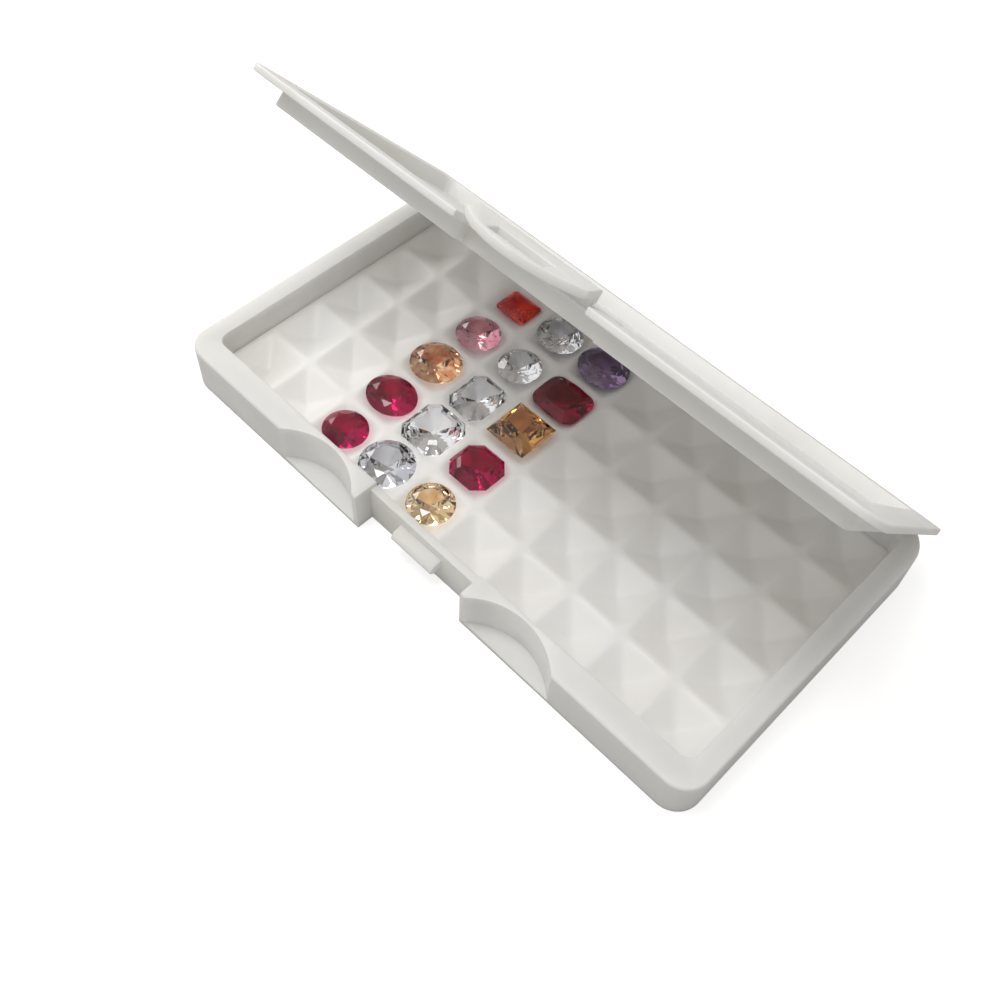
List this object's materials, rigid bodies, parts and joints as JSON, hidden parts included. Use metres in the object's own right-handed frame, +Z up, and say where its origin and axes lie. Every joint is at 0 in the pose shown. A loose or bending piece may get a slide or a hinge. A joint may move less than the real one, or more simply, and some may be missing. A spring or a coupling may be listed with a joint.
{
  "type": "gemstone display case",
  "caption": "Flat flip-lid case moulded in white plastic, with a grid of pyramid cells, a dished lid and latch flap on film hinges, and faceted stones.",
  "frame": {"origin": "on the surface the case rests on, at the centre of its footprint", "axes": "+X along the case's long side, +Y from the latch edge to the hinge edge, +Z up out of the tray"},
  "size_m": [0.1288, 0.0708, 0.0674],
  "materials": {
    "moulded_plastic": "white moulded polypropylene, soft satin gloss",
    "flexed_plastic": "thin flexed polypropylene, slightly paler",
    "ruby": "polished facets, deep crimson",
    "dark_ruby": "polished facets, dark wine red",
    "peach_champagne": "polished facets, peach brown",
    "pale_champagne": "polished facets, pale champagne",
    "gold_champagne": "polished facets, golden brown",
    "pink_stone": "polished facets, dusty pink",
    "orange_red_stone": "polished facets, orange red",
    "violet_stone": "polished facets, greyish violet",
    "clear_stone": "polished facets, colourless"
  },
  "bodies": {
    "base": {"cell_tray": "moulded_plastic", "main_hinge_film": "flexed_plastic", "ruby_oval_a1": "ruby", "ruby_oval_a2": "ruby", "champagne_oval_a3": "peach_champagne", "pink_oval_a4": "pink_stone", "orange_rectangle_a5": "orange_red_stone", "clear_round_b1": "clear_stone", "clear_emerald_b2": "clear_stone", "clear_emerald_b3": "clear_stone", "clear_round_b4": "clear_stone", "clear_oval_b5": "clear_stone", "champagne_round_c1": "pale_champagne", "ruby_cushion_c2": "ruby", "champagne_square_c3": "gold_champagne", "ruby_cushion_c4": "dark_ruby", "violet_oval_c5": "violet_stone"},
    "lid_body": {"lid": "moulded_plastic", "latch_hinge_film": "flexed_plastic"},
    "flap_body": {"latch_flap": "moulded_plastic"}
  },
  "joints": [
    {"name": "lid_hinge", "type": "hinge", "parent": "base", "child": "lid_body", "pos_m": [0, 0.03492, 0.00995], "axis": [-1, 0, 0], "range_deg": [-48, 132]},
    {"name": "flap_hinge", "type": "hinge", "parent": "lid_body", "child": "flap_body", "pos_m": [0, -0.00939, 0.05954], "axis": [-1, 0, 0], "range_deg": [-75, 20]}
  ]
}
